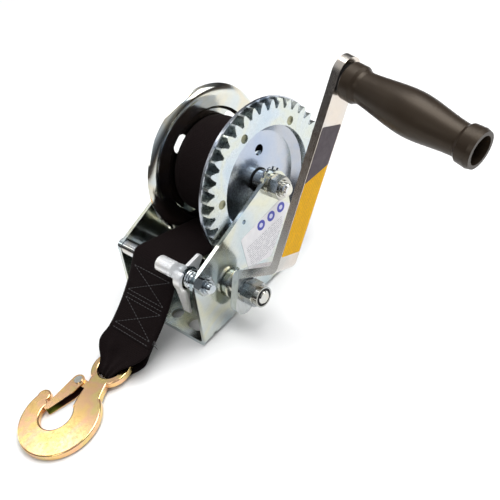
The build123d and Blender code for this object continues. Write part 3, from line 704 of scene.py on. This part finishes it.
def dress_all():
    """Every CAD node's material and the width of its rounded edges."""
    plain = (0.60, 0.64, 0.63)
    tints = (plain, (0.66, 0.66, 0.53), (0.50, 0.59, 0.62))
    sheet = zinc("zinc_sheet_look", tints, 0.12, 0.2)
    tints = ((0.58, 0.64, 0.67), (0.62, 0.65, 0.58), (0.52, 0.60, 0.66))
    gear = zinc("zinc_gear_look", tints, 0.2, 0.32, 0.4)
    tints = ((0.45, 0.50, 0.59), (0.50, 0.52, 0.56), (0.38, 0.45, 0.58))
    dish = zinc("zinc_dish_look", tints, 0.2, 0.26, 0.03)
    shade_tooth_gaps(dish)
    tints = (plain, (0.68, 0.64, 0.52), (0.58, 0.64, 0.66))
    mirror = zinc("zinc_flange_look", tints, 0.08, 0.16, 0.15)
    tints = ((0.66, 0.68, 0.69), (0.70, 0.68, 0.60), (0.54, 0.60, 0.64))
    bright = zinc("zinc_small_look", tints, 0.08, 0.15, 0.08)
    tints = ((0.44, 0.47, 0.49), (0.50, 0.49, 0.44), (0.34, 0.39, 0.43))
    fastener = zinc("zinc_nut_look", tints, 0.1, 0.18, 0.04)
    tints = ((0.36, 0.42, 0.46), (0.42, 0.46, 0.44), (0.26, 0.33, 0.40))
    bush = zinc("zinc_bush_look", tints, 0.14, 0.22)
    tints = ((0.24, 0.24, 0.16), (0.36, 0.35, 0.24), (0.14, 0.15, 0.11))
    dull = zinc("zinc_rivet_look", tints, 0.3, 0.5)
    tints = ((0.66, 0.61, 0.56), (0.68, 0.61, 0.53), (0.58, 0.57, 0.54))
    arm = zinc("zinc_arm_look", tints, 0.18, 0.26, 0.12)
    paint_foot_reflection(arm)
    tints = ((0.92, 0.92, 0.92), (0.93, 0.92, 0.87), (0.85, 0.87, 0.90))
    pale = zinc("zinc_pawl_look", tints, 0.26, 0.38, 0.3)
    pale.node_tree.nodes["Principled BSDF"].inputs["Metallic"].default_value = 0.5
    black = black_plastic()
    looks = {
        "frame": (sheet, 0.0004),
        "drum_left_flange": (mirror, 0.0003),
        "drum_right_flange": (dish, 0.0003),
        "drum_barrel": (sheet, 0.0),
        "drum_bushes": (black, 0.0003),
        "ring_gear": (gear, 0.0002),
        "gear_rivets": (dull, 0.0004),
        "drive_shaft": (bright, 0.0002),
        "pinion_gear": (gear, 0.0002),
        "ratchet_wheel": (gear, 0.0002),
        "shaft_bushes": (bush, 0.0003),
        "shaft_circlip": (black, 0.0002),
        "crank_arm": (arm, 0.0004),
        "handle_pin": (dull, 0.0003),
        "grip": (grip_plastic(), 0.0003),
        "grip_washer": (black, 0.0002),
        "pawl": (pale, 0.0003),
        "hook": (yellow_zinc(), 0.0),
        "latch": (bpy.data.materials["yellow_zinc_look"], 0.0001),
        "latch_rivet": (bright, 0.0002),
        "plate_label": (plate_sticker(), 0.0),
        "arm_label": (arm_sticker(), 0.0),
        "drum_bolt": (bright, 0.0002),
        "drum_nut": (fastener, 0.0002),
        "drum_nut_washer": (fastener, 0.0002),
        "drum_axle_sleeve": (mirror, 0.0002),
        "drum_spacers": (mirror, 0.0002),
        "toothed_washer": (fastener, 0.0002),
        "crank_washer": (bright, 0.0002),
        "crank_lock_washer": (fastener, 0.0002),
        "crank_nut": (fastener, 0.0003),
        "crank_nut_insert": (black, 0.0002),
        "tie_bolt": (bright, 0.0002),
        "tie_nut": (fastener, 0.0002),
        "strap_bar_sleeve": (bright, 0.0002),
        "pawl_washers": (bright, 0.0002),
        "pawl_spring": (bright, 0.0),
    }
    for name, (material, width) in looks.items():
        dress(name, material, width)
    paint_latch_channel_shade()


def paint_latch_channel_shade():
    """Gives the latch's inner faces a painted shade: dark brown, turning dark green near the tip, where
    shade falls inside the channel.
    """
    material, links, shader = new_material("latch_channel_painted_shade_look")
    tree = material.node_tree
    place = tree.nodes.new("ShaderNodeSeparateXYZ")
    links.new(coordinates(tree), place.inputs["Vector"])
    clouds = noise(tree, coordinates(tree), 90.0, 3.0)
    # Painted shade: dark brown inside the channel, and the plating's green tint near the tip darkened the
    # same way, stand in for the shade inside the latch.
    brown = ramp(tree, clouds, [(0.35, (0.020, 0.005, 0.004)), (0.65, (0.055, 0.020, 0.012))])
    shaded_tip_green = ramp(tree, clouds, [(0.35, (0.10, 0.12, 0.012)), (0.65, (0.22, 0.24, 0.03))])
    tip = spread(tree, place.outputs["Y"], -0.158, -0.1525, 1.0, 0.0)
    links.new(mix(tree, tip, brown, shaded_tip_green), shader.inputs["Base Color"])
    shader.inputs["Metallic"].default_value = 0.2
    links.new(spread(tree, clouds, 0.3, 0.7, 0.3, 0.45), shader.inputs["Roughness"])
    bump(tree, shader, clouds, 0.00003, 0.4)
    latch = nodes["latch"]
    latch.data.materials.append(material)
    low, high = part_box("latch")
    middle = (low + high) / 2
    for polygon in latch.data.polygons:
        centre = latch.matrix_world @ polygon.center
        normal = latch.matrix_world.to_3x3() @ polygon.normal
        level = centre.z - middle.z
        facing_in = level * normal.z < 0 and abs(normal.z) > 0.7
        wall = abs(normal.z) < 0.5 and normal.x > 0.5 and centre.x < LATCH_RIVET[0] + 0.004
        if facing_in or (wall and abs(level) < LATCH_INNER_HALF):
            polygon.material_index = 1


# ---- Stage -----------------------------------------------------------------------------------
def camera():
    """The camera, at the photograph's viewing angle."""
    turn = radians(53.05)
    tilt = radians(40.84)
    roll = radians(-16.95)
    back = Vector((sin(turn) * cos(tilt), -cos(turn) * cos(tilt), sin(tilt)))
    right = (-back).cross(Vector((0, 0, 1))).normalized()
    up = right.cross(-back)
    rolled_right = right * cos(roll) + up * sin(roll)
    rolled_up = up * cos(roll) - right * sin(roll)
    data = bpy.data.cameras.new("camera")
    data.lens = 57.6
    data.sensor_width = 36.0
    data.clip_start = 0.01
    holder = bpy.data.objects.new("camera", data)
    rotation = Matrix((rolled_right, rolled_up, back)).transposed()
    holder.matrix_world = Matrix.Translation((0.4016, -0.2600, 0.4336)) @ rotation.to_4x4()
    bpy.context.scene.collection.objects.link(holder)
    bpy.context.scene.camera = holder


def area_light(name, place, target, size, power, colour=(1, 1, 1)):
    """A soft rectangular light aimed at a point."""
    data = bpy.data.lights.new(name, "AREA")
    data.shape = "RECTANGLE"
    data.size, data.size_y = size
    data.energy = power
    data.color = colour
    light = bpy.data.objects.new(name, data)
    light.location = place
    light.rotation_euler = (Vector(target) - Vector(place)).to_track_quat("-Z", "Y").to_euler()
    bpy.context.scene.collection.objects.link(light)


def studio():
    """Floor, soft lights and a plain graded surround for the metal to reflect."""
    size = 6.0
    mesh = bpy.data.meshes.new("floor")
    corners = [(-size, -size, 0), (size, -size, 0), (size, size, 0), (-size, size, 0)]
    mesh.from_pydata(corners, [], [(0, 1, 2, 3)])
    mesh.materials.append(floor_look())
    floor = bpy.data.objects.new("floor", mesh)
    bpy.context.scene.collection.objects.link(floor)
    middle = (0.05, 0.0, 0.08)
    area_light("overhead", (0.25, 0.50, 1.5), middle, (1.2, 1.1), 25.0)
    area_light("left", (-1.3, -0.6, 0.6), middle, (0.4, 0.8), 3.0)
    area_light("back_right", (0.9, 1.1, 0.8), middle, (0.8, 0.6), 4.5)
    area_light("front", (0.5, -1.3, 0.9), middle, (0.5, 0.8), 3.5)
    area_light("hook_sheen", (-1.10, -0.12, 1.41), (0.0, -0.17, 0.0), (0.3, 0.3), 0.95)
    world = bpy.data.worlds.new("surround")
    world.use_nodes = True
    tree = world.node_tree
    source = tree.nodes.new("ShaderNodeTexCoord")
    split = tree.nodes.new("ShaderNodeSeparateXYZ")
    tree.links.new(source.outputs["Generated"], split.inputs["Vector"])
    stops = [
        (0.0, (0.15, 0.125, 0.11)),
        (0.18, (0.03, 0.03, 0.035)),
        (0.5, (0.22, 0.225, 0.23)),
        (0.72, (0.62, 0.63, 0.65)),
    ]
    grade = ramp(tree, split.outputs["Z"], stops)
    background = tree.nodes["Background"]
    tree.links.new(grade, background.inputs["Color"])
    background.inputs["Strength"].default_value = 0.9
    bpy.context.scene.world = world


bpy.context.scene.view_settings.view_transform = "Standard"
camera()
studio()
dress_all()
cloth = webbing()
strap_pieces(cloth, thread())
coil_piece(cloth)
